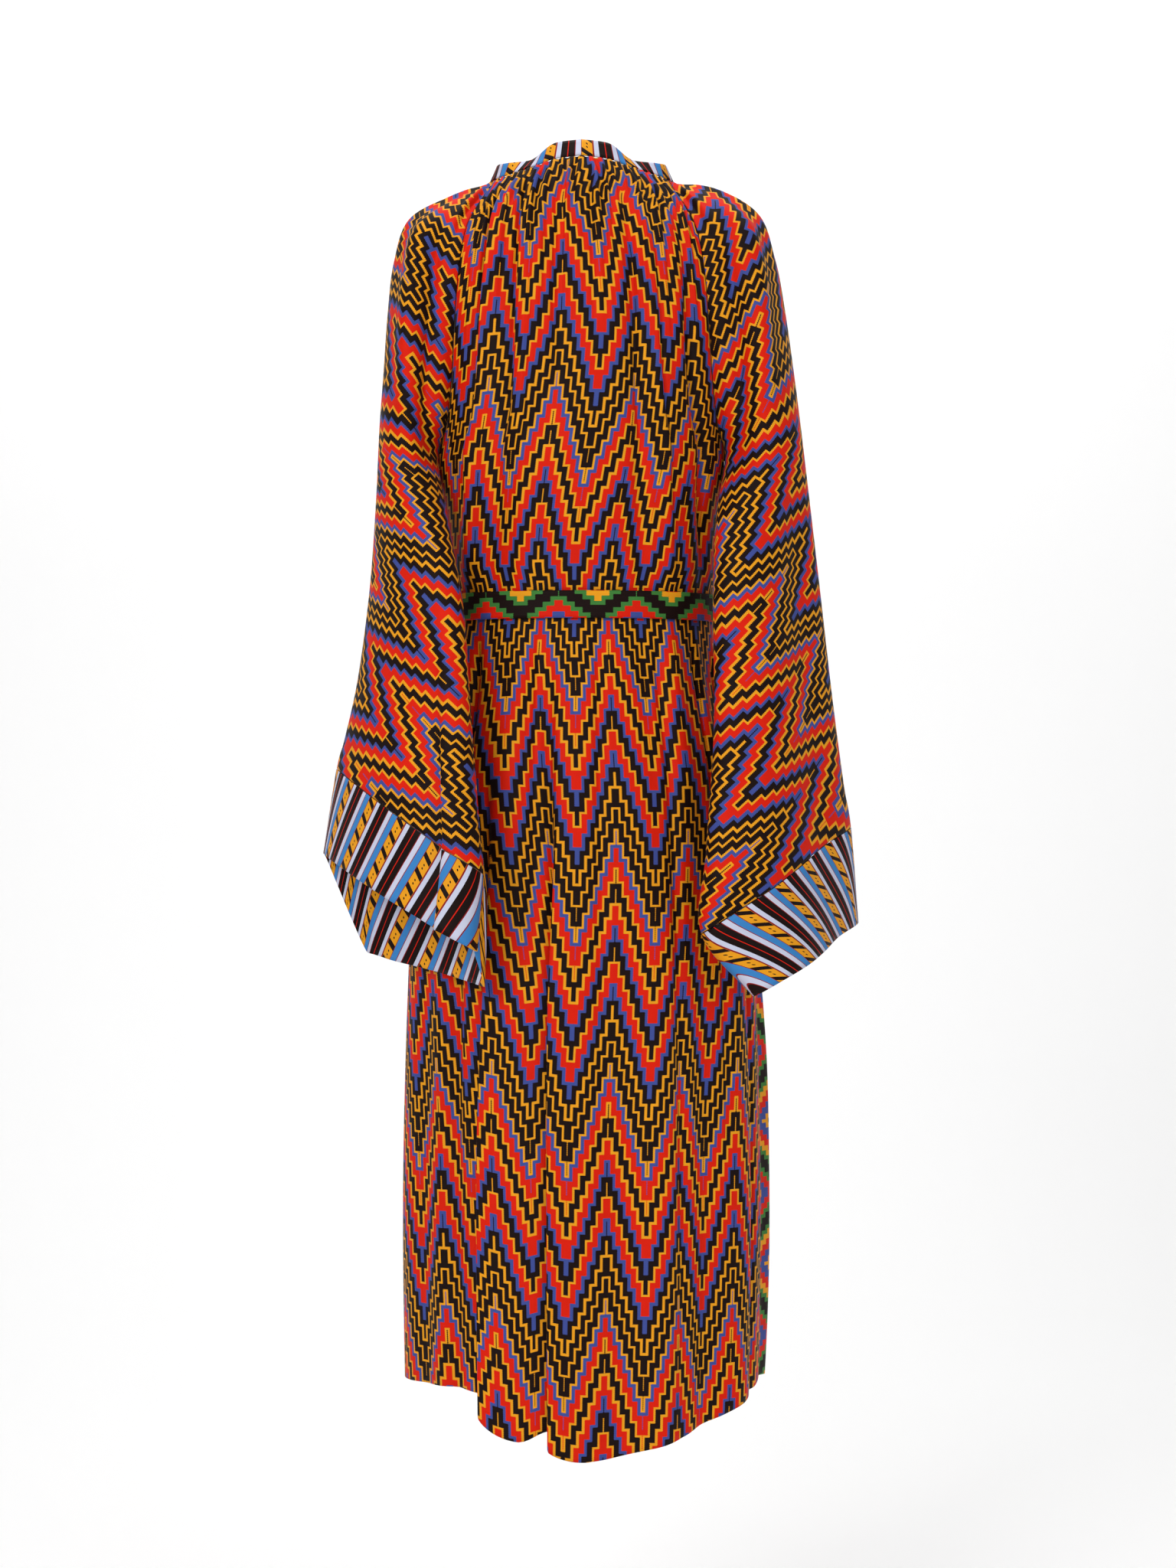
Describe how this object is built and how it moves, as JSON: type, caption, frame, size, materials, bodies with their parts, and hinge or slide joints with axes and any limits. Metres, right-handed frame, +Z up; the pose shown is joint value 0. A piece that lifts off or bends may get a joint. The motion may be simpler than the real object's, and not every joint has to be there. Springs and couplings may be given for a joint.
{
  "type": "kaftan",
  "caption": "Long raglan kaftan in flame-stitch print with a gathered neck, striped neckband and cuffs, wide sleeves and a tied belt, hollow as worn.",
  "frame": {"origin": "midway between the shoulders, where the wearer carries the kaftan", "axes": "+Z up towards the neck, +Y out of the front, +X towards the wearer's right"},
  "size_m": [0.5575, 0.3767, 1.3442],
  "materials": {
    "flame_print": "smooth printed cloth",
    "diamond_print": "smooth printed cloth",
    "stripe_trim": "striped printed band"
  },
  "bodies": {
    "root": {"back_panel_upper": "flame_print", "back_panel_lower": "flame_print", "front_panel_upper": "diamond_print", "front_panel_lower": "diamond_print", "sleeve_left": "flame_print", "sleeve_right": "flame_print", "cuff_left": "stripe_trim", "cuff_right": "stripe_trim", "neckband": "stripe_trim", "belt": "diamond_print", "belt_knot": "diamond_print", "belt_tail_left": "diamond_print", "belt_tail_right": "diamond_print"}
  },
  "joints": []
}
